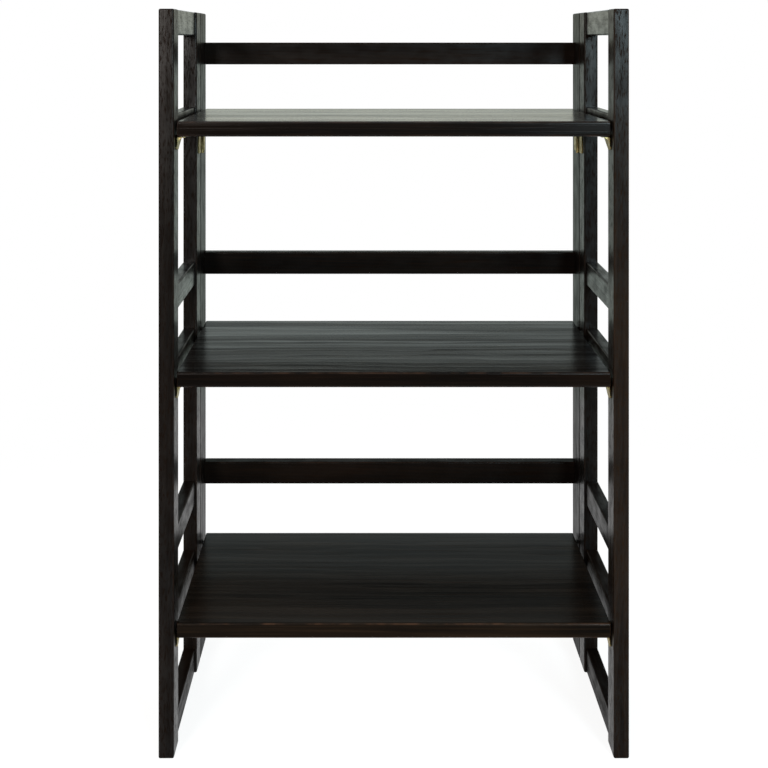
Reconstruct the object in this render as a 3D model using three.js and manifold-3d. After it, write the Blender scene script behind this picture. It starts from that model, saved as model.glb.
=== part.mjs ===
// A folding bookcase in dark stained wood: two open side frames, a back frame and three shelves.
// The side frames hang on the back frame by brass hinges, and each shelf turns up on two pins.
// Millimetres. X runs to the right, the front faces -Y, Z is up, and the origin is the middle of the foot.
import * as THREE from 'three';
import { mergeVertices } from 'three/addons/utils/BufferGeometryUtils.js';
import Module from 'manifold-3d';

const wasm = await Module();
wasm.setup();

// Overall sizes
const overallWidth = 607;
const overallHeight = 967;
const overallDepth = 290;

// Side frames: two posts and seven rails each, flush outside and set back from the posts' inner faces
const postThick = 20;
const postDeep = 36;
const sideRailTall = 34;
const sideRailInset = 3;
const shelfRailRise = 7;
const footRailHeight = 2;

// Back frame: two deep stiles and three rails. The rails' heights are those of their undersides
const stileDeep = 56;
const foldGap = 1;
const backRailTall = 33.5;
const backRailThick = 18;
const lowBackRailHeight = 247;
const topBackRailDrop = 78;

// Shelves. Their heights are those of their top faces
const shelfThick = 20;
const shelfSetback = 2;
const shelfBackGap = 2;
const shelfEndGap = 3.5;
const lowShelfHeight = 173.5;
const topShelfDrop = 145.5;
const shelfNoseTop = 3;
const shelfNoseFoot = 4;
const shelfEase = 1.5;

// Timber edges and joints
const edgeRound = 2;
const endRound = 1.2;
const roundSteps = 2;
const tenonThick = 9;
const tenonTall = 20;
const tenonLong = 15;
const fitGap = 0.3;
const cutOverrun = 1;

// Shelf pivot pins
const pivotRadius = 3;
const pivotInset = 9;
const pivotInShelf = 20;
const pivotInStile = 12;
const pinSides = 12;

// Brass butt hinges, one below each shelf on either side
const hingeTall = 38;
const hingeDrop = 5;
const postLeafWide = 26;
const stileLeafWide = 36;
const leafThick = 1.5;
const leafCorner = 2;
const barrelRadius = 2.6;
const hingePinRadius = 1.3;
const knuckleCount = 5;
const hingePinHead = 1;
const barrelSides = 12;

// Brass shelf rests on the front posts
const restTall = 18;
const restDeep = 34;
const restTipDeep = 11;
const restTipRound = 4;
const restSetback = 15;
const restThick = 1.6;
const restReach = 12;
const restWebDeep = 7;

// Screw holes in the brass
const screwRadius = 1.7;
const screwSides = 8;
const leafScrewInset = 8;
const restScrewInset = 6;
const restScrewDrop = 5;

// Places worked out from the sizes above
const frontFace = -overallDepth / 2;
const innerFace = overallWidth / 2 - postThick;
const postMiddle = overallWidth / 2 - postThick / 2;
const sideDepth = overallDepth - stileDeep - foldGap;
const sideRailThick = postThick - sideRailInset;
const stileFront = frontFace + sideDepth + foldGap;
const foldLine = stileFront - foldGap / 2;
const barrelMiddle = innerFace - fitGap - barrelRadius;
const shelfWidth = 2 * (innerFace - shelfEndGap);
const shelfFront = frontFace + shelfSetback;
const shelfDeep = overallDepth - shelfSetback - shelfBackGap - backRailThick;
const pivotLine = shelfFront + shelfDeep - pivotInset;

const LEVELS = ['bottom', 'middle', 'top'];

function evenlySpaced(low, high) {
  const pitch = (high - low) / (LEVELS.length - 1);
  return LEVELS.map((level, index) => low + index * pitch);
}

const shelfTops = evenlySpaced(lowShelfHeight, overallHeight - topShelfDrop);
const backRailFeet = evenlySpaced(lowBackRailHeight, overallHeight - topBackRailDrop);
const SIDES = [
  { name: 'left', sign: -1 },
  { name: 'right', sign: 1 },
];

// Directions in which an outline drawn in X and Y is pushed out
const ALONG_X = new THREE.Matrix4().makeBasis(
  new THREE.Vector3(0, 1, 0), new THREE.Vector3(0, 0, 1), new THREE.Vector3(1, 0, 0));
const ALONG_Y = new THREE.Matrix4().makeBasis(
  new THREE.Vector3(0, 0, 1), new THREE.Vector3(1, 0, 0), new THREE.Vector3(0, 1, 0));

const frameWood = new THREE.MeshStandardMaterial({ color: 0x1c1714, roughness: 0.35, metalness: 0 });
const shelfWood = new THREE.MeshStandardMaterial({ color: 0x1f1915, roughness: 0.3, metalness: 0 });
const brass = new THREE.MeshStandardMaterial({ color: 0xb08d4a, roughness: 0.3, metalness: 1 });
const steel = new THREE.MeshStandardMaterial({ color: 0x9a9a98, roughness: 0.35, metalness: 1 });

const bookcase = new THREE.Group();

// Joining and cutting
function toSolid(geometry) {
  const bare = geometry.clone();
  bare.deleteAttribute('normal');
  bare.deleteAttribute('uv');
  const merged = mergeVertices(bare);
  return new wasm.Manifold(new wasm.Mesh({
    numProp: 3,
    vertProperties: new Float32Array(merged.attributes.position.array),
    triVerts: new Uint32Array(merged.index.array),
  }));
}

function toGeometry(solid) {
  const mesh = solid.getMesh();
  const geometry = new THREE.BufferGeometry();
  geometry.setAttribute('position', new THREE.BufferAttribute(new Float32Array(mesh.vertProperties), 3));
  geometry.setIndex(new THREE.BufferAttribute(new Uint32Array(mesh.triVerts), 1));
  return geometry;
}

function shaped(base, added, cut) {
  let solid = toSolid(base);
  for (const geometry of added) {
    solid = solid.add(toSolid(geometry));
  }
  for (const geometry of cut) {
    solid = solid.subtract(toSolid(geometry));
  }
  return toGeometry(solid);
}

// Basic forms
function box(sizeX, sizeY, sizeZ, x, y, z) {
  return new THREE.BoxGeometry(sizeX, sizeY, sizeZ).translate(x, y, z);
}

function rodAlongX(radius, length, sides, x, y, z) {
  return new THREE.CylinderGeometry(radius, radius, length, sides).rotateZ(Math.PI / 2).translate(x, y, z);
}

function rodAlongZ(radius, length, sides, x, y, z) {
  return new THREE.CylinderGeometry(radius, radius, length, sides).rotateX(Math.PI / 2).translate(x, y, z);
}

function roundedOutline(width, height, radius) {
  const right = width / 2 - radius;
  const top = height / 2 - radius;
  const outline = new THREE.Shape();
  outline.absarc(right, top, radius, 0, Math.PI / 2);
  outline.absarc(-right, top, radius, Math.PI / 2, Math.PI);
  outline.absarc(-right, -top, radius, Math.PI, 1.5 * Math.PI);
  outline.absarc(right, -top, radius, 1.5 * Math.PI, 2 * Math.PI);
  return outline;
}

// A bar with its long edges rounded and its ends square
function squareEndBar(width, height, length, direction) {
  const outline = roundedOutline(width, height, edgeRound);
  const geometry = new THREE.ExtrudeGeometry(outline, {
    depth: length,
    bevelEnabled: false,
    curveSegments: roundSteps,
  });
  return geometry.translate(0, 0, -length / 2).applyMatrix4(direction);
}

// An upright with its long edges and both ends rounded
function upright(width, depth, height) {
  const outline = roundedOutline(width - 2 * endRound, depth - 2 * endRound, edgeRound - endRound);
  const geometry = new THREE.ExtrudeGeometry(outline, {
    depth: height - 2 * endRound,
    bevelEnabled: true,
    bevelThickness: endRound,
    bevelSize: endRound,
    bevelSegments: roundSteps,
    curveSegments: roundSteps,
  });
  return geometry.translate(0, 0, endRound - height / 2);
}

function place(group, name, geometry, material, x, y, z) {
  const mesh = new THREE.Mesh(geometry, material);
  mesh.name = name;
  mesh.position.set(x, y, z);
  group.add(mesh);
}

// Side frames
const sideRails = [
  { name: 'foot_rail', middle: footRailHeight + sideRailTall / 2 },
  { name: 'bottom_shelf_rail', middle: shelfTops[0] + shelfRailRise - sideRailTall / 2 },
  { name: 'lower_rail', middle: backRailFeet[0] + sideRailTall / 2 },
  { name: 'middle_shelf_rail', middle: shelfTops[1] + shelfRailRise - sideRailTall / 2 },
  { name: 'upper_rail', middle: backRailFeet[1] + sideRailTall / 2 },
  { name: 'top_shelf_rail', middle: shelfTops[2] + shelfRailRise - sideRailTall / 2 },
  { name: 'top_rail', middle: overallHeight - sideRailTall / 2 },
];

// The facing sign is 1 on a front post, whose mortises open towards the back, and -1 on a rear post
function postShape(facing, railX) {
  const deep = tenonLong + fitGap + cutOverrun;
  const y = facing * (postDeep / 2 + cutOverrun - deep / 2);
  const mortises = sideRails.map((rail) => box(
    tenonThick + 2 * fitGap, deep, tenonTall + 2 * fitGap, railX, y, rail.middle - overallHeight / 2));
  return shaped(upright(postThick, postDeep, overallHeight), [], mortises);
}

function sideRailShape() {
  const length = sideDepth - 2 * postDeep - 2 * fitGap;
  const bar = squareEndBar(sideRailTall, sideRailThick, length, ALONG_Y);
  const tenon = box(tenonThick, length + 2 * tenonLong, tenonTall, 0, 0, 0);
  return shaped(bar, [tenon], []);
}

function buildSideFrame(side) {
  const frame = new THREE.Group();
  frame.position.set(side.sign * postMiddle, 0, 0);
  const frontPostY = frontFace + postDeep / 2;
  const rearPostY = frontFace + sideDepth - postDeep / 2;
  const railX = side.sign * sideRailInset / 2;
  place(frame, `${side.name}_front_post`, postShape(1, railX), frameWood, 0, frontPostY, overallHeight / 2);
  place(frame, `${side.name}_rear_post`, postShape(-1, railX), frameWood, 0, rearPostY, overallHeight / 2);
  const railY = (frontPostY + rearPostY) / 2;
  for (const rail of sideRails) {
    place(frame, `${side.name}_${rail.name}`, sideRailShape(), frameWood, railX, railY, rail.middle);
  }
  bookcase.add(frame);
}

// Back frame
const backRailY = overallDepth / 2 - backRailThick / 2;
const backRailMiddles = backRailFeet.map((foot) => foot + backRailTall / 2);
const pivotHeights = shelfTops.map((top) => top - shelfThick / 2);

function stileShape(side) {
  const stileMiddleY = stileFront + stileDeep / 2;
  const mortiseLong = tenonLong + fitGap + cutOverrun;
  const mortiseX = -side.sign * (postThick / 2 + cutOverrun - mortiseLong / 2);
  const boreLong = pivotInStile + fitGap + cutOverrun;
  const boreX = -side.sign * (postThick / 2 + cutOverrun - boreLong / 2);
  const mortises = backRailMiddles.map((middle) => box(
    mortiseLong, tenonThick + 2 * fitGap, tenonTall + 2 * fitGap,
    mortiseX, backRailY - stileMiddleY, middle - overallHeight / 2));
  const bores = pivotHeights.map((height) => rodAlongX(
    pivotRadius + fitGap, boreLong, pinSides, boreX, pivotLine - stileMiddleY, height - overallHeight / 2));
  return shaped(upright(postThick, stileDeep, overallHeight), [], [...mortises, ...bores]);
}

function backRailShape() {
  const length = 2 * innerFace - 2 * fitGap;
  const bar = squareEndBar(backRailThick, backRailTall, length, ALONG_X);
  const tenon = box(length + 2 * tenonLong, tenonThick, tenonTall, 0, 0, 0);
  return shaped(bar, [tenon], []);
}

function buildBackFrame() {
  const frame = new THREE.Group();
  for (const side of SIDES) {
    place(frame, `${side.name}_back_stile`, stileShape(side), frameWood,
      side.sign * postMiddle, stileFront + stileDeep / 2, overallHeight / 2);
  }
  LEVELS.forEach((level, index) => {
    place(frame, `${level}_back_rail`, backRailShape(), frameWood, 0, backRailY, backRailMiddles[index]);
  });
  bookcase.add(frame);
}

// Shelves and their pivot pins
function shelfShape() {
  const half = shelfThick / 2;
  const back = shelfDeep - shelfEase;
  const outline = new THREE.Shape();
  outline.absarc(shelfNoseFoot, shelfNoseFoot - half, shelfNoseFoot, Math.PI, 1.5 * Math.PI);
  outline.absarc(back, shelfEase - half, shelfEase, 1.5 * Math.PI, 2 * Math.PI);
  outline.absarc(back, half - shelfEase, shelfEase, 0, Math.PI / 2);
  outline.absarc(shelfNoseTop, half - shelfNoseTop, shelfNoseTop, Math.PI / 2, Math.PI);
  const board = new THREE.ExtrudeGeometry(outline, {
    depth: shelfWidth,
    bevelEnabled: false,
    curveSegments: 2 * roundSteps,
  });
  board.translate(0, 0, -shelfWidth / 2).applyMatrix4(ALONG_X);
  const boreLong = pivotInShelf + fitGap + cutOverrun;
  const boreX = shelfWidth / 2 + cutOverrun - boreLong / 2;
  const bores = SIDES.map((side) => rodAlongX(
    pivotRadius + fitGap, boreLong, pinSides, side.sign * boreX, shelfDeep - pivotInset, 0));
  return shaped(board, [], bores);
}

function buildShelves() {
  const pinLong = pivotInShelf + shelfEndGap + pivotInStile;
  const pinX = innerFace + pivotInStile - pinLong / 2;
  LEVELS.forEach((level, index) => {
    const shelf = new THREE.Group();
    shelf.position.set(0, 0, pivotHeights[index]);
    place(shelf, `${level}_shelf`, shelfShape(), shelfWood, 0, shelfFront, 0);
    for (const side of SIDES) {
      const pin = rodAlongX(pivotRadius, pinLong, pinSides, 0, 0, 0);
      place(shelf, `${level}_${side.name}_pivot_pin`, pin, steel, side.sign * pinX, pivotLine, 0);
    }
    bookcase.add(shelf);
  });
}

// Hinges. The reach sign is -1 for the leaf on the rear post and 1 for the leaf on the stile.
// The outer knuckles are on the stile, and the sign of the side says which way the wood lies.
function leafShape(side, reach) {
  const woodX = side.sign * (barrelRadius - leafThick / 2);
  const own = reach > 0 ? 0 : 1;
  const knuckleTall = hingeTall / knuckleCount;
  const plateStart = barrelRadius + fitGap;
  const leafWide = reach > 0 ? stileLeafWide : postLeafWide;
  const plateWide = leafWide - plateStart;
  const outline = roundedOutline(plateWide, hingeTall - 2 * fitGap, leafCorner);
  const plate = new THREE.ExtrudeGeometry(outline, {
    depth: leafThick,
    bevelEnabled: false,
    curveSegments: roundSteps,
  });
  plate.translate(0, 0, -leafThick / 2).applyMatrix4(ALONG_X);
  plate.translate(woodX, reach * (plateStart + plateWide / 2), 0);

  const added = [];
  for (let index = own; index < knuckleCount; index += 2) {
    const tall = knuckleTall - 2 * fitGap;
    const z = (index + 1 / 2) * knuckleTall - hingeTall / 2;
    added.push(rodAlongZ(barrelRadius, tall, barrelSides, 0, 0, z));
    added.push(box(leafThick, plateStart + leafCorner, tall, woodX, reach * (plateStart + leafCorner) / 2, z));
  }
  const bore = rodAlongZ(hingePinRadius + fitGap, hingeTall + cutOverrun, barrelSides, 0, 0, 0);
  const screwY = reach * (plateStart + plateWide / 2);
  const screwHoles = [-1, 1].map((end) => rodAlongX(
    screwRadius, leafThick + 2 * cutOverrun, screwSides, woodX, screwY, end * (hingeTall / 2 - leafScrewInset)));
  return shaped(plate, added, [bore, ...screwHoles]);
}

function hingePinShape() {
  const pin = rodAlongZ(hingePinRadius, hingeTall, barrelSides, 0, 0, 0);
  const heads = [-1, 1].map((end) => rodAlongZ(
    barrelRadius, hingePinHead, barrelSides, 0, 0, end * (hingeTall + hingePinHead) / 2));
  return shaped(pin, heads, []);
}

function buildHinges(side) {
  LEVELS.forEach((level, index) => {
    const hinge = new THREE.Group();
    const top = shelfTops[index] - shelfThick - hingeDrop;
    hinge.position.set(side.sign * barrelMiddle, foldLine, top - hingeTall / 2);
    place(hinge, `${side.name}_${level}_post_leaf`, leafShape(side, -1), brass, 0, 0, 0);
    place(hinge, `${side.name}_${level}_stile_leaf`, leafShape(side, 1), brass, 0, 0, 0);
    place(hinge, `${side.name}_${level}_hinge_pin`, hingePinShape(), brass, 0, 0, 0);
    bookcase.add(hinge);
  });
}

// Shelf rests: a tapered plate on the front post, turned in at the top to carry the shelf, and a curved web
// at its front. The plate's outline runs front to back, and down from the rest's top.
function restWebShape(inward) {
  const foot = restTipRound - restTall;
  const outline = new THREE.Shape();
  outline.moveTo(0, 0);
  outline.lineTo(0, inward * restReach);
  outline.lineTo(-restThick, inward * restReach);
  outline.quadraticCurveTo(-restThick, inward * restThick, foot, inward * restThick);
  outline.lineTo(foot, 0);
  const web = new THREE.ExtrudeGeometry(outline, {
    depth: restWebDeep,
    bevelEnabled: false,
    curveSegments: 2 * roundSteps,
  });
  return web.applyMatrix4(ALONG_Y);
}

function shelfRestShape(side) {
  const outline = new THREE.Shape();
  outline.moveTo(0, 0);
  outline.lineTo(0, restTipRound - restTall);
  outline.absarc(restTipRound, restTipRound - restTall, restTipRound, Math.PI, 1.5 * Math.PI);
  outline.lineTo(restTipDeep, -restTall);
  outline.lineTo(restDeep, -restTall / 3);
  outline.lineTo(restDeep, 0);
  const plate = new THREE.ExtrudeGeometry(outline, {
    depth: restThick,
    bevelEnabled: false,
    curveSegments: roundSteps,
  });
  plate.translate(0, 0, -restThick / 2).applyMatrix4(ALONG_X);
  plate.translate(-side.sign * restThick / 2, 0, 0);
  const ledge = box(restReach, restDeep, restThick, -side.sign * restReach / 2, restDeep / 2, -restThick / 2);
  const screwX = -side.sign * restThick / 2;
  const screwLines = [restWebDeep + restScrewInset, restDeep - restScrewInset];
  const screwHoles = screwLines.map((line) => rodAlongX(
    screwRadius, restThick + 2 * cutOverrun, screwSides, screwX, line, -restScrewDrop));
  return shaped(plate, [ledge, restWebShape(-side.sign)], screwHoles);
}

function buildShelfRests(side) {
  LEVELS.forEach((level, index) => {
    place(bookcase, `${side.name}_${level}_shelf_rest`, shelfRestShape(side), brass,
      side.sign * (innerFace - fitGap), frontFace + restSetback, shelfTops[index] - shelfThick - fitGap);
  });
}

for (const side of SIDES) {
  buildSideFrame(side);
  buildHinges(side);
  buildShelfRests(side);
}
buildBackFrame();
buildShelves();

export default bookcase;
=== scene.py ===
import math

import bmesh
import bpy
from mathutils import Matrix, Vector


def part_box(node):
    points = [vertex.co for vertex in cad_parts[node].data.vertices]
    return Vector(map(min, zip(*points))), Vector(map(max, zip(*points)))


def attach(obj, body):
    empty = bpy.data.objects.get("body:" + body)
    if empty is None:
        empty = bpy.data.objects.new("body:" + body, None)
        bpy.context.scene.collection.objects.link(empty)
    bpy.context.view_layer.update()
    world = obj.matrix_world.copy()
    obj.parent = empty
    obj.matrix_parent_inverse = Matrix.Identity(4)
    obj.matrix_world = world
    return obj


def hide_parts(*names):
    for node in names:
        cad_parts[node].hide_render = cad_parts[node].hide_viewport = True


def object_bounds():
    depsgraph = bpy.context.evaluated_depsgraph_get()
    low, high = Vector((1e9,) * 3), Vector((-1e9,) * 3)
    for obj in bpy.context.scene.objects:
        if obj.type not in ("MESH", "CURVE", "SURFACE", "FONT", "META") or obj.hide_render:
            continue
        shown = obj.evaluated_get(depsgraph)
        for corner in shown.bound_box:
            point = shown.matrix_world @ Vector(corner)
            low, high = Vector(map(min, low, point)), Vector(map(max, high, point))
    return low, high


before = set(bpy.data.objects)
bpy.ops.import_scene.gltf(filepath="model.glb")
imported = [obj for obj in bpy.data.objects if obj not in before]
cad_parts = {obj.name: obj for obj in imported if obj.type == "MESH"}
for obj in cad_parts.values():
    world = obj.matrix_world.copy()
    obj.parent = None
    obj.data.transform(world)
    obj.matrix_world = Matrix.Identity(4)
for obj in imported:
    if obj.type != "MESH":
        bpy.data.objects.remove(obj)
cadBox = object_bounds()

print("bookcase: frame loaded with", len(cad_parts), "nodes")

sides = {"left": -1, "right": 1}
levels = ("bottom", "middle", "top")
railNames = ("foot_rail", "bottom_shelf_rail", "lower_rail", "middle_shelf_rail",
             "upper_rail", "top_shelf_rail", "top_rail")

# The eye is level with the top rails, and the lens is shifted down to take in the feet
cameraView = {
    "place": (-0.0352, -1.595, 0.9272),
    "lens": 52.75,
    "sensor": 36.0,
    "shiftX": 0.0228,
    "shiftY": -0.4486,
}


def makeCamera():
    data = bpy.data.cameras.new("photoCamera")
    data.lens = cameraView["lens"]
    data.sensor_width = cameraView["sensor"]
    data.shift_x = cameraView["shiftX"]
    data.shift_y = cameraView["shiftY"]
    camera = bpy.data.objects.new("photoCamera", data)
    camera.location = cameraView["place"]
    camera.rotation_euler = (math.pi / 2, 0, 0)
    bpy.context.scene.collection.objects.link(camera)
    bpy.context.scene.camera = camera


# Small helpers for node trees
def addNode(tree, kind, **settings):
    node = tree.nodes.new(kind)
    for name, value in settings.items():
        setattr(node, name, value)
    return node


def fill(node, values):
    for name, value in values.items():
        node.inputs[name].default_value = value
    return node


def join(tree, start, end):
    tree.links.new(start, end)


def mathNode(tree, operation, first, second=None, third=None, clamp=False):
    node = addNode(tree, "ShaderNodeMath", operation=operation, use_clamp=clamp)
    for socket, value in zip(node.inputs, (first, second, third)):
        if value is None:
            continue
        if isinstance(value, (int, float)):
            socket.default_value = value
        else:
            join(tree, value, socket)
    return node.outputs[0]


def stretchNode(tree, vector, scale):
    node = addNode(tree, "ShaderNodeMapping", vector_type="POINT")
    if isinstance(scale, bpy.types.NodeSocket):
        join(tree, scale, node.inputs["Scale"])
    else:
        node.inputs["Scale"].default_value = scale
    join(tree, vector, node.inputs["Vector"])
    return node.outputs["Vector"]


def rangeNode(tree, value, low, high, toLow=0.0, toHigh=1.0):
    node = addNode(tree, "ShaderNodeMapRange", interpolation_type="SMOOTHSTEP")
    fill(node, {"From Min": low, "From Max": high, "To Min": toLow, "To Max": toHigh})
    join(tree, value, node.inputs["Value"])
    return node.outputs["Result"]


# A noise from its dictionary, with its stretch and range where it has them
def noiseNode(tree, vector, noise):
    if "stretch" in noise:
        vector = stretchNode(tree, vector, noise["stretch"])
    node = addNode(tree, "ShaderNodeTexNoise")
    fill(node, {"Scale": noise["scale"], "Detail": noise["detail"], "Roughness": noise["roughness"]})
    join(tree, vector, node.inputs["Vector"])
    value = node.outputs["Fac"]
    return rangeNode(tree, value, *noise["range"]) if "range" in noise else value


# The mix node has sockets for each kind of data, and 6 and 7 are the colours
def mixColour(tree, factor, first, second):
    node = addNode(tree, "ShaderNodeMix", data_type="RGBA")
    for socket, value in zip((node.inputs[0], node.inputs[6], node.inputs[7]), (factor, first, second)):
        if isinstance(value, bpy.types.NodeSocket):
            join(tree, value, socket)
        else:
            socket.default_value = value
    return node.outputs[2]


def startGroup(name, inputs, outputs):
    group = bpy.data.node_groups.new(name, "ShaderNodeTree")
    for label, kind, value in inputs:
        socket = group.interface.new_socket(name=label, in_out="INPUT", socket_type=kind)
        if value is not None:
            socket.default_value = value
    for label, kind in outputs:
        group.interface.new_socket(name=label, in_out="OUTPUT", socket_type=kind)
    return group, addNode(group, "NodeGroupInput"), addNode(group, "NodeGroupOutput")


def useGroup(tree, group, vector, values):
    node = fill(addNode(tree, "ShaderNodeGroup", node_tree=group), values)
    join(tree, vector, node.inputs["Vector"])
    return node


grainLook = {
    "wander": {"stretch": (0.35, 2.2, 2.2), "scale": 9.0, "detail": 3.0, "roughness": 0.55},
    "sway": 0.05,
    "lateWood": 1.6,
    "ringRise": (0.0, 0.9),
    "ringFall": (1.0, 0.80),
    "pores": {"scale": 1.0, "detail": 2.0, "roughness": 0.6, "range": (0.50, 0.66)},
    "threads": {"stretch": (0.9, 62, 62), "scale": 1.0, "detail": 4.0, "roughness": 0.65,
                "range": (0.36, 0.64)},
    "threadSway": 0.5,
    "patches": {"stretch": (2.5, 11, 11), "scale": 1.0, "detail": 3.0, "roughness": 0.5,
                "range": (0.35, 0.75)},
    "figureWarmth": 0.35,
    "poreWarmth": 0.3,
}


# Growth rings, pores and uneven stain. The grain runs along X of the vector
def grainGroup():
    group, inside, outside = startGroup(
        "stainedGrain",
        [("Vector", "NodeSocketVector", None),
         ("Pith", "NodeSocketVector", (0.0, 0.0, -0.09)),
         ("Tilt", "NodeSocketFloat", 0.06),
         ("Ring Width", "NodeSocketFloat", 0.012),
         ("Pore Scale", "NodeSocketVector", (60.0, 480.0, 480.0)),
         ("Ring Share", "NodeSocketFloat", 0.6),
         ("Stain", "NodeSocketColor", (0.010, 0.008, 0.007, 1)),
         ("Warm Stain", "NodeSocketColor", (0.030, 0.018, 0.012, 1)),
         ("Patches", "NodeSocketFloat", 0.5)],
        [("Color", "NodeSocketColor"),
         ("Rings", "NodeSocketFloat"),
         ("Pores", "NodeSocketFloat")])
    vector = inside.outputs["Vector"]

    offset = addNode(group, "ShaderNodeVectorMath", operation="SUBTRACT")
    join(group, vector, offset.inputs[0])
    join(group, inside.outputs["Pith"], offset.inputs[1])
    parts = addNode(group, "ShaderNodeSeparateXYZ")
    join(group, offset.outputs[0], parts.inputs[0])
    wander = noiseNode(group, vector, grainLook["wander"])
    sway = mathNode(group, "MULTIPLY_ADD", wander, grainLook["sway"], -grainLook["sway"] / 2)
    lean = mathNode(group, "MULTIPLY", parts.outputs["X"], inside.outputs["Tilt"])
    deep = mathNode(group, "ADD", parts.outputs["Z"], lean)
    across = mathNode(group, "ADD", parts.outputs["Y"], sway)
    squares = [mathNode(group, "MULTIPLY", length, length) for length in (across, deep)]
    radius = mathNode(group, "SQRT", mathNode(group, "ADD", *squares))
    turns = mathNode(group, "ADD", mathNode(group, "DIVIDE", radius, inside.outputs["Ring Width"]), sway)
    late = mathNode(group, "POWER", mathNode(group, "FRACT", turns), grainLook["lateWood"])
    rise = rangeNode(group, late, *grainLook["ringRise"])
    rings = mathNode(group, "MULTIPLY", rise, rangeNode(group, late, *grainLook["ringFall"]))

    stretched = stretchNode(group, vector, inside.outputs["Pore Scale"])
    pores = noiseNode(group, stretched, grainLook["pores"])
    drift = addNode(group, "ShaderNodeCombineXYZ")
    join(group, parts.outputs["X"], drift.inputs["X"])
    drifted = mathNode(group, "MULTIPLY_ADD", sway, grainLook["threadSway"], parts.outputs["Y"])
    join(group, drifted, drift.inputs["Y"])
    join(group, parts.outputs["Z"], drift.inputs["Z"])
    threads = noiseNode(group, drift.outputs["Vector"], grainLook["threads"])
    patches = noiseNode(group, vector, grainLook["patches"])
    patchShare = mathNode(group, "MULTIPLY", patches, inside.outputs["Patches"])
    figure = addNode(group, "ShaderNodeMix", data_type="FLOAT")
    join(group, inside.outputs["Ring Share"], figure.inputs[0])
    join(group, threads, figure.inputs[2])
    join(group, rings, figure.inputs[3])
    warmth = mathNode(group, "MULTIPLY_ADD", figure.outputs[0], grainLook["figureWarmth"], patchShare)
    warmth = mathNode(group, "MULTIPLY_ADD", pores, grainLook["poreWarmth"], warmth, clamp=True)
    colour = mixColour(group, warmth, inside.outputs["Stain"], inside.outputs["Warm Stain"])
    join(group, colour, outside.inputs["Color"])
    join(group, figure.outputs[0], outside.inputs["Rings"])
    join(group, pores, outside.inputs["Pores"])
    return group


lacquerLook = {
    "clouds": {"stretch": (4, 9, 9), "scale": 1.0, "detail": 3.0, "roughness": 0.5},
    "cloudHaze": 0.10,
    "ringHaze": 0.10,
    "poreHaze": 0.12,
    "peel": {"scale": 260.0, "detail": 1.0, "roughness": 0.5},
    "peelHeight": 0.12,
    "ringHeight": -0.4,
    "poreHeight": -0.6,
    "marbling": {"scale": 1.0, "detail": 2.0, "roughness": 0.5, "range": (0.30, 0.70)},
    "middle": 0.5,
    "dullWeight": 0.13,
    "addedWeight": 0.37,
}


# A satin coat over the grain. Its weight follows the figure, the pores and a soft marbling
def lacquerGroup():
    group, inside, outside = startGroup(
        "satinLacquer",
        [("Vector", "NodeSocketVector", None),
         ("Rings", "NodeSocketFloat", 0.0),
         ("Pores", "NodeSocketFloat", 0.0),
         ("Roughness", "NodeSocketFloat", 0.3),
         ("Grain Depth", "NodeSocketFloat", 1.0),
         ("Figure", "NodeSocketFloat", 0.2),
         ("Mottle", "NodeSocketFloat", 0.1),
         ("Mottle Scale", "NodeSocketVector", (35.0, 70.0, 70.0)),
         ("Pore Dullness", "NodeSocketFloat", 0.3),
         ("Shine Share", "NodeSocketFloat", 1.0)],
        [("Roughness", "NodeSocketFloat"),
         ("Height", "NodeSocketFloat"),
         ("Shine", "NodeSocketFloat")])
    vector = inside.outputs["Vector"]
    rings, pores = inside.outputs["Rings"], inside.outputs["Pores"]
    clouds = noiseNode(group, vector, lacquerLook["clouds"])
    haze = mathNode(group, "MULTIPLY_ADD", clouds, lacquerLook["cloudHaze"], -lacquerLook["cloudHaze"] / 2)
    haze = mathNode(group, "MULTIPLY_ADD", rings, lacquerLook["ringHaze"], haze)
    haze = mathNode(group, "MULTIPLY_ADD", pores, lacquerLook["poreHaze"], haze)
    join(group, mathNode(group, "ADD", inside.outputs["Roughness"], haze, clamp=True),
         outside.inputs["Roughness"])

    relief = mathNode(group, "MULTIPLY", rings, lacquerLook["ringHeight"])
    relief = mathNode(group, "MULTIPLY_ADD", pores, lacquerLook["poreHeight"], relief)
    relief = mathNode(group, "MULTIPLY", relief, inside.outputs["Grain Depth"])
    peel = noiseNode(group, vector, lacquerLook["peel"])
    join(group, mathNode(group, "MULTIPLY_ADD", peel, lacquerLook["peelHeight"], relief),
         outside.inputs["Height"])

    # With a whole share, the figure and the marbling swing about a weight of one half
    share = inside.outputs["Shine Share"]
    swing = mathNode(group, "MULTIPLY", inside.outputs["Figure"], share)
    fromMiddle = mathNode(group, "SUBTRACT", rings, lacquerLook["middle"])
    lines = mathNode(group, "MULTIPLY", fromMiddle, swing)
    marbling = noiseNode(group, stretchNode(group, vector, inside.outputs["Mottle Scale"]),
                         lacquerLook["marbling"])
    fromMiddle = mathNode(group, "SUBTRACT", marbling, lacquerLook["middle"])
    cloudy = mathNode(group, "MULTIPLY", fromMiddle, inside.outputs["Mottle"])
    level = mathNode(group, "MULTIPLY_ADD", share, lacquerLook["addedWeight"], lacquerLook["dullWeight"])
    sunk = mathNode(group, "MULTIPLY", pores, inside.outputs["Pore Dullness"])
    level = mathNode(group, "SUBTRACT", level, sunk)
    shine = mathNode(group, "ADD", mathNode(group, "ADD", lines, cloudy), level, clamp=True)
    join(group, shine, outside.inputs["Shine"])
    return group


edgeWearAndHighlightLook = {
    "turned": (0.985, 0.80),
    "breakUp": {"scale": 38.0, "detail": 4.0, "roughness": 0.6, "range": (0.38, 0.68)},
}
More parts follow.
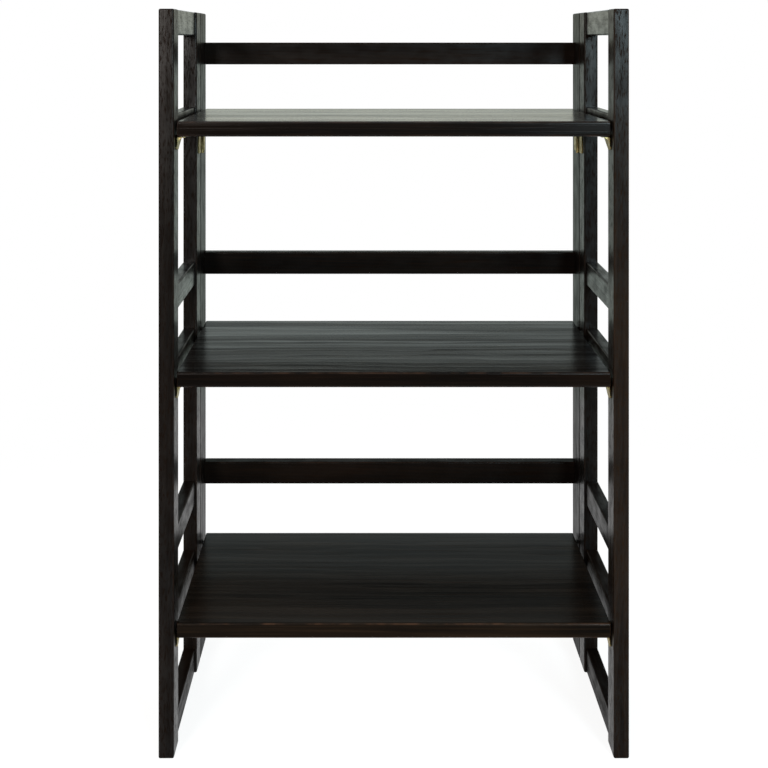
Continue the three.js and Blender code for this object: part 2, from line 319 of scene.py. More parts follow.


# Where rounded edges are handled, the stain thins, and the lighter edge also serves as a painted highlight
# along the roundings. Flat faces point along an axis, so they stay clear
def edgeWearAndHighlightGroup():
    group, inside, outside = startGroup(
        "edgeWearAndHighlight",
        [("Vector", "NodeSocketVector", None),
         ("Normal", "NodeSocketVector", None),
         ("Amount", "NodeSocketFloat", 0.6)],
        [("Mask", "NodeSocketFloat")])
    parts = addNode(group, "ShaderNodeSeparateXYZ")
    join(group, inside.outputs["Normal"], parts.inputs[0])
    along = [mathNode(group, "ABSOLUTE", output) for output in parts.outputs]
    widest = mathNode(group, "MAXIMUM", mathNode(group, "MAXIMUM", along[0], along[1]), along[2])
    turned = rangeNode(group, widest, *edgeWearAndHighlightLook["turned"])
    breakUp = noiseNode(group, inside.outputs["Vector"], edgeWearAndHighlightLook["breakUp"])
    mask = mathNode(group, "MULTIPLY", turned, breakUp)
    join(group, mathNode(group, "MULTIPLY", mask, inside.outputs["Amount"]), outside.inputs["Mask"])
    return group


tarnishLook = {
    "clouds": {"scale": 150.0, "detail": 2.0, "roughness": 0.5, "range": (0.25, 0.75)},
    "lines": {"stretch": (900, 900, 60), "scale": 1.0, "detail": 2.0, "roughness": 0.6},
    "cloudHaze": 0.25,
    "lineHaze": 0.08,
}


# Handled metal: a polished tone, dull clouds and fine draw lines
def tarnishGroup():
    group, inside, outside = startGroup(
        "dulledMetal",
        [("Vector", "NodeSocketVector", None),
         ("Polished", "NodeSocketColor", (0.80, 0.62, 0.28, 1)),
         ("Dulled", "NodeSocketColor", (0.42, 0.30, 0.12, 1)),
         ("Dullness", "NodeSocketFloat", 0.5),
         ("Roughness", "NodeSocketFloat", 0.2)],
        [("Color", "NodeSocketColor"),
         ("Roughness", "NodeSocketFloat"),
         ("Height", "NodeSocketFloat")])
    vector = inside.outputs["Vector"]
    clouds = noiseNode(group, vector, tarnishLook["clouds"])
    share = mathNode(group, "MULTIPLY", clouds, inside.outputs["Dullness"])
    join(group, mixColour(group, share, inside.outputs["Polished"], inside.outputs["Dulled"]),
         outside.inputs["Color"])
    lines = noiseNode(group, vector, tarnishLook["lines"])
    haze = mathNode(group, "MULTIPLY_ADD", share, tarnishLook["cloudHaze"], inside.outputs["Roughness"])
    haze = mathNode(group, "MULTIPLY_ADD", lines, tarnishLook["lineHaze"], haze, clamp=True)
    join(group, haze, outside.inputs["Roughness"])
    join(group, lines, outside.inputs["Height"])
    return group


groups = {
    "grain": grainGroup(),
    "lacquer": lacquerGroup(),
    "wearAndHighlight": edgeWearAndHighlightGroup(),
    "tarnish": tarnishGroup(),
}
print("bookcase: node groups built")

# Turns that bring each timber's length onto X, for the grain
grainTurns = {
    "upright": (0, math.pi / 2, 0),
    "depth": (0, 0, math.pi / 2),
    "width": (0, 0, 0),
}

frameStain = {
    "stain": (0.0010, 0.0008, 0.0007, 1),
    "warmStain": (0.0040, 0.0021, 0.0013, 1),
    # lighter brown of the rounded edges: partly edge wear, partly a painted highlight
    "edgeWearAndHighlightColour": (0.060, 0.026, 0.013, 1),
    "patches": 0.55,
    "wearAndHighlight": 0.08,
    "ringWidth": 0.0055,
    "ringShare": 0.35,
    "poreScale": (95, 620, 620),
    "figure": 0.25,
    "poreDullness": 0.6,
    "mottle": 0.3,
    "mottleScale": (35, 70, 70),
    "shineFollows": None,
    "pith": (0.11, 0.045, -0.06),
    "tilt": 0.035,
    "roughness": 0.24,
    "grainDepth": 0.8,
    "ior": 1.17,
    "underShare": 0.1,
    "coatShare": 1.8,
    "coatHaze": 0.08,
    "bumpStrength": 0.5,
    "bumpDistance": 0.0003,
}

# One post took the stain less evenly and shows more brown
warmStain = dict(frameStain, warmStain=(0.0080, 0.0042, 0.0023, 1))

stileStain = dict(
    frameStain,
    ior=1.125,
    roughness=0.28,
    poreScale=(12, 520, 520),
    poreDullness=0.35,
    figure=0.35,
    shineFollows="height",
    # the stiles' coat shines less near the floor, rising between these heights
    shineRampHeights=(0.11, 0.20),
)
backRailStain = dict(frameStain, ior=1.10, figure=0.1, poreScale=(12, 520, 520), poreDullness=0.35)

sideRailStain = dict(frameStain, mottle=0.55, grainDepth=0.4, poreDullness=0.08)

# The rails shine less towards the floor: painted shade, standing for the shadowed floor they mirror
sideRailShineWithPaintedShade = {
    "foot_rail": 1.06,
    "bottom_shelf_rail": 1.08,
    "lower_rail": 1.11,
    "middle_shelf_rail": 1.14,
    "upper_rail": 1.20,
    "top_shelf_rail": 1.20,
    "top_rail": 1.42,
}

shelfStain = dict(
    frameStain,
    ringWidth=0.015,
    ringShare=0.5,
    poreScale=(6, 460, 460),
    tilt=0.012,
    roughness=0.16,
    grainDepth=1.0,
    patches=0.4,
    poreDullness=0.15,
    mottle=0.4,
    mottleScale=(0.7, 16, 16),
    # The shelves' coat shines by how flat a face lies, so the front edges stay dark: painted shade on the
    # fronts
    shineFollows="flatness",
    bumpStrength=0.45,
)

# Each board is cut at its own distance from the heart of its log, and has its own edge wear with a painted
# edge highlight, and its own polish
shelfBoards = {
    "bottom": {
        "pith": (0.0, -0.19, 0.07),
        "warmStain": (0.0085, 0.0048, 0.0027, 1),
        "ior": 1.147,
        "figure": 0.22,
        "mottle": 0.25,
        "wearAndHighlight": 0.3,
    },
    "middle": {
        "pith": (0.0, 0.06, 0.41),
        "ior": 1.163,
        "figure": 0.8,
        "wearAndHighlight": 0.2,
    },
    "top": {
        "pith": (0.0, -0.02, 0.72),
        "ior": 1.31,
        "figure": 0.35,
        "wearAndHighlight": 0.12,
    },
}


def startMaterial(name):
    material = bpy.data.materials.new(name)
    material.use_nodes = True
    tree = material.node_tree
    shader = next(node for node in tree.nodes if node.type == "BSDF_PRINCIPLED")
    return material, tree, shader


def addBump(tree, shader, height, values):
    bump = addNode(tree, "ShaderNodeBump")
    fill(bump, {"Strength": values["bumpStrength"], "Distance": values["bumpDistance"]})
    join(tree, height, bump.inputs["Height"])
    join(tree, bump.outputs["Normal"], shader.inputs["Normal"])


# The index whose straight-on reflection is a share of the given one's
def iorWithShare(ior, share):
    edge = (ior - 1) / (ior + 1) * math.sqrt(share)
    return (1 + edge) / (1 - edge)


def makeWood(name, values, turn):
    material, tree, shader = startMaterial(name)
    coordinates = addNode(tree, "ShaderNodeTexCoord")
    turned = fill(addNode(tree, "ShaderNodeMapping", vector_type="POINT"), {"Rotation": turn})
    join(tree, coordinates.outputs["Object"], turned.inputs["Vector"])
    vector = turned.outputs["Vector"]
    grain = useGroup(tree, groups["grain"], vector, {
        "Pith": values["pith"], "Tilt": values["tilt"], "Ring Width": values["ringWidth"],
        "Pore Scale": values["poreScale"], "Ring Share": values["ringShare"],
        "Stain": values["stain"], "Warm Stain": values["warmStain"], "Patches": values["patches"]})
    wearAndHighlight = useGroup(tree, groups["wearAndHighlight"], vector, {"Amount": values["wearAndHighlight"]})
    join(tree, coordinates.outputs["Normal"], wearAndHighlight.inputs["Normal"])
    lacquer = useGroup(tree, groups["lacquer"], vector, {
        "Roughness": values["roughness"], "Grain Depth": values["grainDepth"],
        "Pore Dullness": values["poreDullness"], "Figure": values["figure"],
        "Mottle": values["mottle"], "Mottle Scale": values["mottleScale"]})
    # On shelves the shine follows flatness, painted shade on the front edges; on stiles it rises with height
    if values["shineFollows"] == "flatness":
        facing = addNode(tree, "ShaderNodeSeparateXYZ")
        join(tree, coordinates.outputs["Normal"], facing.inputs[0])
        join(tree, mathNode(tree, "ABSOLUTE", facing.outputs["Z"]), lacquer.inputs["Shine Share"])
    elif values["shineFollows"] == "height":
        height = addNode(tree, "ShaderNodeSeparateXYZ")
        join(tree, coordinates.outputs["Object"], height.inputs[0])
        join(tree, rangeNode(tree, height.outputs["Z"], *values["shineRampHeights"]), lacquer.inputs["Shine Share"])
    join(tree, grain.outputs["Rings"], lacquer.inputs["Rings"])
    join(tree, grain.outputs["Pores"], lacquer.inputs["Pores"])
    # Rounded edges turn a lighter brown: partly edge wear, partly a painted highlight
    colour = mixColour(tree, wearAndHighlight.outputs["Mask"], grain.outputs["Color"], values["edgeWearAndHighlightColour"])
    join(tree, colour, shader.inputs["Base Color"])
    join(tree, lacquer.outputs["Roughness"], shader.inputs["Roughness"])
    join(tree, lacquer.outputs["Shine"], shader.inputs["Coat Weight"])
    addBump(tree, shader, lacquer.outputs["Height"], values)
    fill(shader, {"IOR": iorWithShare(values["ior"], values["underShare"]),
                  "Coat IOR": iorWithShare(values["ior"], values["coatShare"]),
                  "Coat Roughness": values["roughness"] + values["coatHaze"]})
    return material


brassFinish = {
    "polished": (0.35, 0.28, 0.13, 1),
    "dulled": (0.155, 0.118, 0.052, 1),
    "dullness": 0.9,
    "roughness": 0.36,
    "bumpStrength": 0.15,
    "bumpDistance": 0.0001,
}

steelFinish = dict(
    brassFinish,
    polished=(0.62, 0.62, 0.61, 1),
    dulled=(0.30, 0.29, 0.28, 1),
    roughness=0.3,
)


def makeMetal(name, values):
    material, tree, shader = startMaterial(name)
    coordinates = addNode(tree, "ShaderNodeTexCoord")
    metal = useGroup(tree, groups["tarnish"], coordinates.outputs["Object"], {
        "Polished": values["polished"], "Dulled": values["dulled"],
        "Dullness": values["dullness"], "Roughness": values["roughness"]})
    join(tree, metal.outputs["Color"], shader.inputs["Base Color"])
    join(tree, metal.outputs["Roughness"], shader.inputs["Roughness"])
    addBump(tree, shader, metal.outputs["Height"], values)
    fill(shader, {"Metallic": 1.0})
    return material


materials = {
    "upright": makeWood("uprightStain", frameStain, grainTurns["upright"]),
    "warmUpright": makeWood("warmUprightStain", warmStain, grainTurns["upright"]),
    "stile": makeWood("stileStain", stileStain, grainTurns["upright"]),
    "backRail": makeWood("backRailStain", backRailStain, grainTurns["width"]),
    "brass": makeMetal("dulledBrass", brassFinish),
    "steel": makeMetal("turnedSteel", steelFinish),
}
for rail in railNames:
    # each rail's shine drops towards the floor as painted shade
    stain = dict(sideRailStain, ior=sideRailShineWithPaintedShade[rail])
    materials[rail] = makeWood(f"{rail}_stain", stain, grainTurns["depth"])
for level in levels:
    stain = dict(shelfStain, **shelfBoards[level])
    materials[f"{level}Shelf"] = makeWood(f"{level}ShelfStain", stain, grainTurns["width"])
print("bookcase: materials built")

meshing = {
    "sharpAngle": math.radians(40),
    "endFacing": 0.9,
    "rimAngle": 1.0,
    "rimSteps": 2,
    "roundProfile": 0.5,
}


# Turns a bmesh into a piece that rides on a body and stands for a node
def addPiece(shape, name, material, body, node):
    bmesh.ops.recalc_face_normals(shape, faces=shape.faces)
    mesh = bpy.data.meshes.new(name)
    shape.to_mesh(mesh)
    shape.free()
    mesh.polygons.foreach_set("use_smooth", [True] * len(mesh.polygons))
    mesh.set_sharp_from_angle(angle=meshing["sharpAngle"])
    mesh.materials.append(material)
    piece = bpy.data.objects.new(name, mesh)
    bpy.context.scene.collection.objects.link(piece)
    weights = piece.modifiers.new("faceWeights", "WEIGHTED_NORMAL")
    weights.keep_sharp = True
    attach(piece, body)
    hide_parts(node)


def roundEdges(shape, edges, radius, steps):
    bmesh.ops.bevel(shape, geom=edges, offset=radius, offset_type="OFFSET", segments=steps,
                    profile=meshing["roundProfile"], affect="EDGES")


def roundEnds(shape, axis, radius, steps):
    shape.normal_update()
    ends = [face for face in shape.faces if abs(face.normal[axis]) > meshing["endFacing"]]
    roundEdges(shape, list({edge for face in ends for edge in face.edges}), radius, steps)


timber = {
    "warmPost": "right_front_post",
    "edgeRound": 0.0022,
    "edgeSteps": 5,
    "endRound": 0.0022,
    "endSteps": 4,
    "jointGap": 0.0001,
    "jointEase": 0.0004,
}


# A bar between two corners, with its long edges rounded and its ends eased
def barShape(low, high, axis, endEase):
    shape = bmesh.new()
    bmesh.ops.create_cube(shape, size=1)
    move = Matrix.Translation((low + high) / 2) @ Matrix.Diagonal((*(high - low), 1))
    bmesh.ops.transform(shape, matrix=move, verts=shape.verts)
    across = [other for other in range(3) if other != axis]
    longEdges = [edge for edge in shape.edges
                 if all(abs(edge.verts[0].co[k] - edge.verts[1].co[k]) < timber["jointGap"] for k in across)]
    roundEdges(shape, longEdges, timber["edgeRound"], timber["edgeSteps"])
    roundEnds(shape, axis, endEase, timber["endSteps"])
    return shape


def buildSideFrame(side):
    body = f"{side}_side"
    for post in ("front_post", "rear_post"):
        node = f"{side}_{post}"
        low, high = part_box(node)
        wood = "warmUpright" if node == timber["warmPost"] else "upright"
        addPiece(barShape(low, high, 2, timber["endRound"]), f"{node}_timber",
                 materials[wood], body, node)
    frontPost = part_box(f"{side}_front_post")[1].y
    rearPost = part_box(f"{side}_rear_post")[0].y
    for rail in railNames:
        node = f"{side}_{rail}"
        low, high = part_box(node)
        low.y = frontPost + timber["jointGap"]
        high.y = rearPost - timber["jointGap"]
        addPiece(barShape(low, high, 1, timber["jointEase"]), f"{node}_timber",
                 materials[rail], body, node)


def buildBackFrame():
    for side in sides:
        node = f"{side}_back_stile"
        low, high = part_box(node)
        addPiece(barShape(low, high, 2, timber["endRound"]), f"{node}_timber",
                 materials["stile"], "back_frame", node)
    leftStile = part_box("left_back_stile")[1].x
    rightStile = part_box("right_back_stile")[0].x
    for level in levels:
        node = f"{level}_back_rail"
        low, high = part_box(node)
        low.x = leftStile + timber["jointGap"]
        high.x = rightStile - timber["jointGap"]
        addPiece(barShape(low, high, 0, timber["jointEase"]), f"{node}_timber",
                 materials["backRail"], "back_frame", node)


shelfBoard = {
    "noseTop": 0.003,
    "noseFoot": 0.004,
    "backRound": 0.0015,
    "arcSteps": 8,
    "endRound": 0.0012,
    "endSteps": 3,
}


def arcPoints(middle, radius, start, end, steps):
    turns = [start + (end - start) * index / steps for index in range(steps + 1)]
    return [(middle[0] + radius * math.cos(turn), middle[1] + radius * math.sin(turn)) for turn in turns]


def shelfOutline(low, high):
    nose, foot, back = shelfBoard["noseTop"], shelfBoard["noseFoot"], shelfBoard["backRound"]
    steps = shelfBoard["arcSteps"]
    half = math.pi / 2
    outline = arcPoints((low.y + foot, low.z + foot), foot, math.pi, 3 * half, steps)
    outline += arcPoints((high.y - back, low.z + back), back, 3 * half, 4 * half, steps)
    outline += arcPoints((high.y - back, high.z - back), back, 0, half, steps)
    outline += arcPoints((low.y + nose, high.z - nose), nose, half, math.pi, steps)
    return outline


def shelfShape(low, high):
    shape = bmesh.new()
    ring = [shape.verts.new((low.x, y, z)) for y, z in shelfOutline(low, high)]
    face = shape.faces.new(ring)
    made = bmesh.ops.extrude_face_region(shape, geom=[face])
    moved = [item for item in made["geom"] if isinstance(item, bmesh.types.BMVert)]
    bmesh.ops.translate(shape, vec=(high.x - low.x, 0, 0), verts=moved)
    roundEnds(shape, 0, shelfBoard["endRound"], shelfBoard["endSteps"])
    return shape


def buildShelves():
    for level in levels:
        node = f"{level}_shelf"
        low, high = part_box(node)
        addPiece(shelfShape(low, high), f"{level}_shelf_timber", materials[f"{level}Shelf"],
                 f"{level}_shelf_board", node)


# A flat plate with holes, drawn in X and Y, standing between two heights and then put in its place
def addPlate(shape, loops, low, high, place, ease=0.0):
    before = set(shape.verts)
    edges = []
    for loop in loops:
        ring = [shape.verts.new((x, y, low)) for x, y in loop]
        edges += [shape.edges.new((ring[index - 1], ring[index])) for index in range(len(ring))]
    filled = bmesh.ops.triangle_fill(shape, edges=edges, use_beauty=True)
    faces = [item for item in filled["geom"] if isinstance(item, bmesh.types.BMFace)]
    made = bmesh.ops.extrude_face_region(shape, geom=faces)
    moved = {item for item in made["geom"] if isinstance(item, bmesh.types.BMVert)}
    bmesh.ops.translate(shape, vec=(0, 0, high - low), verts=list(moved))
    shape.normal_update()
    if ease:
        rim = [edge for edge in shape.edges
               if moved.issuperset(edge.verts) and edge.calc_face_angle(0) > meshing["rimAngle"]]
        roundEdges(shape, rim, ease, meshing["rimSteps"])
    fresh = [vert for vert in shape.verts if vert not in before]
    bmesh.ops.transform(shape, matrix=place, verts=fresh)


# A round part turned about Z, from a profile of radii and heights
def addTurned(shape, profile, steps, place):
    rings = []
    for radius, height in profile:
        count = steps if radius else 1
        angles = [2 * math.pi * index / count for index in range(count)]
        spots = [(radius * math.cos(angle), radius * math.sin(angle), height) for angle in angles]
        rings.append([shape.verts.new(place @ Vector(spot)) for spot in spots])
    for lower, upper in zip(rings, rings[1:]):
        for index in range(steps):
            corners = [lower[(index - 1) % len(lower)], lower[index % len(lower)],
                       upper[index % len(upper)], upper[(index - 1) % len(upper)]]
            shape.faces.new(list(dict.fromkeys(corners)))


def roundedLoop(left, foot, right, top, radius, steps):
    half = math.pi / 2
    loop = arcPoints((right - radius, foot + radius), radius, -half, 0, steps)
    loop += arcPoints((right - radius, top - radius), radius, 0, half, steps)
    loop += arcPoints((left + radius, top - radius), radius, half, 2 * half, steps)
    loop += arcPoints((left + radius, foot + radius), radius, 2 * half, 3 * half, steps)
    return loop


def circleLoop(x, y, radius, steps):
    return arcPoints((x, y), radius, 0, 2 * math.pi, steps)[:-1]


# Columns say where the drawing's X, Y and Z go
def placing(alongX, alongY, alongZ, origin):
    columns = [Vector(alongX), Vector(alongY), Vector(alongZ), Vector(origin)]
    matrix = Matrix.Identity(4)
    for index, column in enumerate(columns):
        matrix.col[index][:3] = column
    return matrix


screw = {
    "head": 0.0030,
    "hole": 0.0032,
    "slotWide": 0.0007,
    "slotDeep": 0.0006,
    "overlap": 0.0001,
    "steps": 20,
    "turns": (0.5, 1.7, 2.6, 1.1),
}


# A slotted screw head, flush with its plate
def addScrew(shape, x, y, high, turn, place):
    floor = high - screw["slotDeep"]
    addPlate(shape, [circleLoop(x, y, screw["head"], screw["steps"])], screw["overlap"], floor, place)
    start = math.asin(screw["slotWide"] / 2 / screw["head"])
    for half in (turn, turn + math.pi):
        cheek = arcPoints((x, y), screw["head"], half + start, half + math.pi - start, screw["steps"] // 2)
        addPlate(shape, [cheek], floor - screw["overlap"], high, place)


hinge = {
    "thick": 0.0015,
    "corner": 0.002,
    "barrel": 0.0026,
    "pin": 0.0013,
    "pinHead": 0.001,
    "plateStart": 0.0029,
    "lap": 0.0006,
    "knuckles": 5,
    "knuckleGap": 0.00018,
    "screwInset": 0.008,
    "plateTrim": 0.0003,
    "edge": 0.0002,
    "cornerSteps": 5,
    "barrelSteps": 28,
}


# The leaf wraps round the pin and runs on as a flat tongue into its plate
def knuckleLoop():
    barrel, thick = hinge["barrel"], hinge["thick"]
    inner = barrel - thick
    meeting = math.acos(inner / barrel)
    end = hinge["plateStart"] + hinge["lap"]
    wrap = arcPoints((0, 0), barrel, 0, meeting - 2 * math.pi, hinge["barrelSteps"])
    return [(barrel, end)] + wrap + [(inner, end)]


def addLeaf(side, level, kind, reach, body, firstKnuckle):
    sign = sides[side]
    pinLow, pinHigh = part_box(f"{side}_{level}_hinge_pin")
    axis = (pinLow + pinHigh) / 2
    tall = pinHigh.z - pinLow.z - 2 * hinge["pinHead"]
    node = f"{side}_{level}_{kind}"
    low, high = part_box(node)
    wide = high.y - axis.y if reach > 0 else axis.y - low.y
    wood = (axis.x + sign * hinge["barrel"], axis.y, axis.z)
    onWood = placing((0, reach, 0), (0, 0, 1), (-sign, 0, 0), wood)
    onPin = placing((sign, 0, 0), (0, reach, 0), (0, 0, 1), axis)
    half = tall / 2 - hinge["plateTrim"]
    screwLine = (hinge["plateStart"] + wide) / 2
    screwHeights = [end * (tall / 2 - hinge["screwInset"]) for end in (-1, 1)]

    shape = bmesh.new()
    outline = roundedLoop(hinge["plateStart"], -half, wide, half, hinge["corner"], hinge["cornerSteps"])
    holes = [circleLoop(screwLine, height, screw["hole"], screw["steps"]) for height in screwHeights]
    addPlate(shape, [outline, *holes], 0, hinge["thick"], onWood, hinge["edge"])
    for index, height in enumerate(screwHeights):
        turn = screw["turns"][index + firstKnuckle]
        addScrew(shape, screwLine, height, hinge["thick"] - screw["overlap"], turn, onWood)
    pitch = tall / hinge["knuckles"]
    for index in range(firstKnuckle, hinge["knuckles"], 2):
        foot = index * pitch - tall / 2 + hinge["knuckleGap"]
        addPlate(shape, [knuckleLoop()], foot, foot + pitch - 2 * hinge["knuckleGap"], onPin, hinge["edge"])
    addPiece(shape, f"{node}_brass", materials["brass"], body, node)


def addHingePin(side, level):
    node = f"{side}_{level}_hinge_pin"
    low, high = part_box(node)
    end = (high.z - low.z) / 2
    neck = end - hinge["pinHead"]
    crown = hinge["barrel"] - hinge["pinHead"]
    top = [(hinge["pin"], neck), (hinge["barrel"], neck), (crown + hinge["pinHead"] / 2, end - hinge["edge"]),
           (crown, end), (0, end)]
    profile = [(radius, -height) for radius, height in reversed(top)] + top
    shape = bmesh.new()
    addTurned(shape, profile, hinge["barrelSteps"], Matrix.Translation((low + high) / 2))
    addPiece(shape, f"{node}_brass", materials["brass"], "back_frame", node)


shelfRest = {
    "thick": 0.0016,
    "tipDeep": 0.011,
    "tipRound": 0.004,
    "backTallShare": 1 / 3,
    "webDeep": 0.007,
    "screwLines": (0.013, 0.028),
    "screwDrop": 0.005,
    "ledgeRound": 0.002,
    "edge": 0.0002,
    "arcSteps": 6,
    "webSteps": 14,
}


# The web's free edge hangs in a hollow curve from the ledge to the plate's foot
def webLoop(reach, foot):
    thick, steps = shelfRest["thick"], shelfRest["webSteps"]
    start, bend, end = Vector((-thick, reach)), Vector((-thick, thick)), Vector((foot, thick))
    curve = []
    for index in range(steps + 1):
        share = index / steps
        point = start * (1 - share) ** 2 + bend * (2 * share * (1 - share)) + end * share ** 2
        curve.append((point.x, point.y))
    return [(0, 0), (0, reach)] + curve + [(foot, 0)]


def addShelfRest(side, level):
    sign = sides[side]
    node = f"{side}_{level}_shelf_rest"
    low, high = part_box(node)
    wood = high.x if sign > 0 else low.x
    corner = (wood, low.y, high.z)
    inward = (-sign, 0, 0)
    deep, tall, reach = high.y - low.y, high.z - low.z, high.x - low.x
    thick, tip, edge = shelfRest["thick"], shelfRest["tipRound"], shelfRest["edge"]
    half = math.pi / 2

    shape = bmesh.new()
    outline = [(0, 0)] + arcPoints((tip, tip - tall), tip, math.pi, 3 * half, shelfRest["arcSteps"])
    outline += [(shelfRest["tipDeep"], -tall), (deep, -tall * shelfRest["backTallShare"]), (deep, 0)]
    holes = [circleLoop(line, -shelfRest["screwDrop"], screw["hole"], screw["steps"])
             for line in shelfRest["screwLines"]]
    onPost = placing((0, 1, 0), (0, 0, 1), inward, corner)
    addPlate(shape, [outline, *holes], 0, thick, onPost, edge)
    for index, line in enumerate(shelfRest["screwLines"]):
        turn = screw["turns"][index + 1]
        addScrew(shape, line, -shelfRest["screwDrop"], thick - screw["overlap"], turn, onPost)

    bend = shelfRest["ledgeRound"]
    ledge = [(0, 0), (deep, 0)] + arcPoints((deep - bend, reach - bend), bend, 0, half, shelfRest["arcSteps"])
    ledge += arcPoints((bend, reach - bend), bend, half, 2 * half, shelfRest["arcSteps"])
    addPlate(shape, [ledge], 0, thick, placing((0, 1, 0), inward, (0, 0, -1), corner), edge)
    acrossFront = placing((0, 0, 1), inward, (0, 1, 0), corner)
    addPlate(shape, [webLoop(reach, tip - tall)], 0, shelfRest["webDeep"], acrossFront, edge)
    addPiece(shape, f"{node}_brass", materials["brass"], f"{side}_side", node)


pivotPin = {
    "chamfer": 0.0006,
    "steps": 32,
}


def addPivotPin(side, level):
    node = f"{level}_{side}_pivot_pin"
    low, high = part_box(node)
    radius = (high.z - low.z) / 2
    end = (high.x - low.x) / 2
    cut = pivotPin["chamfer"]
    top = [(radius, end - cut), (radius - cut, end), (0, end)]
    profile = [(width, -height) for width, height in reversed(top)] + top
    shape = bmesh.new()
    addTurned(shape, profile, pivotPin["steps"], placing((0, 1, 0), (0, 0, 1), (1, 0, 0), (low + high) / 2))
    addPiece(shape, f"{node}_steel", materials["steel"], f"{level}_shelf_board", node)


makeCamera()
for side in sides:
    buildSideFrame(side)
buildBackFrame()
print("bookcase: frames built")
buildShelves()
print("bookcase: shelves built")

for level in levels:
    for side in sides:
        addLeaf(side, level, "post_leaf", -1, f"{side}_side", 1)
        addLeaf(side, level, "stile_leaf", 1, "back_frame", 0)
        addHingePin(side, level)
        addShelfRest(side, level)
        addPivotPin(side, level)
print("bookcase: hinges, rests and pins built")

studio = {
    "floorRadius": 1.35,
    "floorSteps": 96,
    "floorColour": (0.92, 0.92, 0.91, 1),
    "clearFrom": 0.45,
    "clearTo": 1.25,
    "floorGlow": 0.88,
    "roomLight": 0.7,
    "roomColour": (1.0, 1.0, 1.0, 1),
    "mirroredBelow": (0.88, 1.0, 0.92, 1),
    "mirroredLow": (0.98, 1.0, 0.84, 1),
    "mirroredHigh": (0.86, 1.0, 1.0, 1),
    "lowBand": (-0.02, 0.04),
    "highBand": (0.10, 0.22),
    "behind": 0.85,
    "overhead": 0.35,
    "overheadBand": (0.20, 0.65),
    "before": 0.08,
    "beforeBand": (-0.35, 0.25),
}


# One where the background is looked at, straight or in a mirroring or clear surface
def seenRays(tree, path):
    mirrored = mathNode(tree, "MAXIMUM", path.outputs["Is Glossy Ray"], path.outputs["Is Transmission Ray"])
    return mathNode(tree, "MAXIMUM", mirrored, path.outputs["Is Camera Ray"])


# Mirrored rays see a room that glows white behind the bookcase and is dark round the camera
def makeWorld():
    world = bpy.data.worlds.new("studioRoom")
    bpy.context.scene.world = world
    world.use_nodes = True
    tree = world.node_tree
    tree.nodes.clear()
    output = addNode(tree, "ShaderNodeOutputWorld")
    coordinates = addNode(tree, "ShaderNodeTexCoord")
    parts = addNode(tree, "ShaderNodeSeparateXYZ")
    join(tree, coordinates.outputs["Generated"], parts.inputs[0])
    raised = rangeNode(tree, parts.outputs["Z"], *studio["overheadBand"],
                       studio["behind"], studio["overhead"])
    around = rangeNode(tree, parts.outputs["Y"], *studio["beforeBand"])
    lifted = mathNode(tree, "SUBTRACT", raised, studio["before"])
    behind = mathNode(tree, "MULTIPLY_ADD", around, lifted, studio["before"])
    path = addNode(tree, "ShaderNodeLightPath")
    seen = seenRays(tree, path)
    seenStrength = mathNode(tree, "MAXIMUM", behind, path.outputs["Is Camera Ray"])
    lighting = addNode(tree, "ShaderNodeBackground")
    fill(lighting, {"Strength": studio["roomLight"], "Color": studio["roomColour"]})
    shown = addNode(tree, "ShaderNodeBackground")
    lowTint = mixColour(tree, rangeNode(tree, parts.outputs["Z"], *studio["lowBand"]),
                        studio["mirroredBelow"], studio["mirroredLow"])
    tint = mixColour(tree, rangeNode(tree, parts.outputs["Z"], *studio["highBand"]),
                     lowTint, studio["mirroredHigh"])
    shownColour = mixColour(tree, path.outputs["Is Camera Ray"], tint, studio["roomColour"])
    join(tree, shownColour, shown.inputs["Color"])
    join(tree, seenStrength, shown.inputs["Strength"])
    mix = addNode(tree, "ShaderNodeMixShader")
    join(tree, seen, mix.inputs[0])
    join(tree, lighting.outputs[0], mix.inputs[1])
    join(tree, shown.outputs[0], mix.inputs[2])
    join(tree, mix.outputs[0], output.inputs["Surface"])


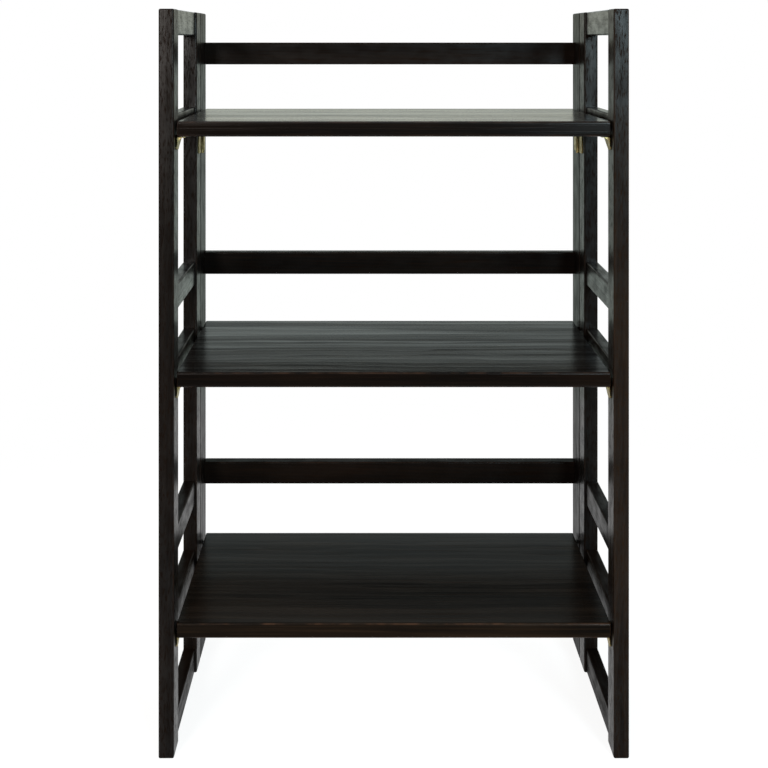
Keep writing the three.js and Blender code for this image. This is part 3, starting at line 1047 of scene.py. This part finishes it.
def makeFloor():
    shape = bmesh.new()
    bmesh.ops.create_circle(shape, cap_ends=True, segments=studio["floorSteps"],
                            radius=studio["floorRadius"])
    mesh = bpy.data.meshes.new("studioFloor")
    shape.to_mesh(mesh)
    shape.free()
    floor = bpy.data.objects.new("studioFloor", mesh)
    bpy.context.scene.collection.objects.link(floor)
    material = bpy.data.materials.new("paleFloor")
    material.use_nodes = True
    tree = material.node_tree
    tree.nodes.clear()
    output = addNode(tree, "ShaderNodeOutputMaterial")
    matt = fill(addNode(tree, "ShaderNodeBsdfDiffuse"), {"Color": studio["floorColour"]})
    glow = addNode(tree, "ShaderNodeEmission")
    coordinates = addNode(tree, "ShaderNodeTexCoord")
    length = addNode(tree, "ShaderNodeVectorMath", operation="LENGTH")
    join(tree, coordinates.outputs["Object"], length.inputs[0])
    far = rangeNode(tree, length.outputs["Value"], studio["clearFrom"], studio["clearTo"],
                    studio["floorGlow"], 1.0)
    share = mathNode(tree, "MULTIPLY", far, seenRays(tree, addNode(tree, "ShaderNodeLightPath")))
    mix = addNode(tree, "ShaderNodeMixShader")
    join(tree, share, mix.inputs[0])
    join(tree, matt.outputs[0], mix.inputs[1])
    join(tree, glow.outputs[0], mix.inputs[2])
    join(tree, mix.outputs[0], output.inputs["Surface"])
    mesh.materials.append(material)


softBoxes = {
    "leftSoftBox": {
        "place": (-1.30, -3.1, 1.55),
        "size": (0.7, 0.9),
        "watts": 155,
        "colour": (1.0, 0.95, 0.90),
    },
    "rightSoftBox": {
        "place": (1.30, -3.1, 1.55),
        "size": (0.8, 0.9),
        "watts": 210,
        "colour": (0.72, 0.93, 1.0),
    },
    "topSoftBox": {
        "place": (0.0, -0.2, 2.9),
        "size": (1.8, 1.4),
        "watts": 34,
        "colour": (1.0, 1.0, 1.0),
    },
}


def makeLights():
    low, high = cadBox
    middle = (low + high) / 2
    for name, values in softBoxes.items():
        data = bpy.data.lights.new(name, "AREA")
        data.shape = "RECTANGLE"
        data.size, data.size_y = values["size"]
        data.energy = values["watts"]
        data.color = values["colour"]
        lamp = bpy.data.objects.new(name, data)
        lamp.location = values["place"]
        lamp.rotation_euler = (middle - Vector(values["place"])).to_track_quat("-Z", "Y").to_euler()
        bpy.context.scene.collection.objects.link(lamp)


makeWorld()
makeFloor()
makeLights()
bpy.context.scene.view_settings.view_transform = "Standard"
print("bookcase: studio set")

bpy.context.view_layer.update()
print("bookcase: done")
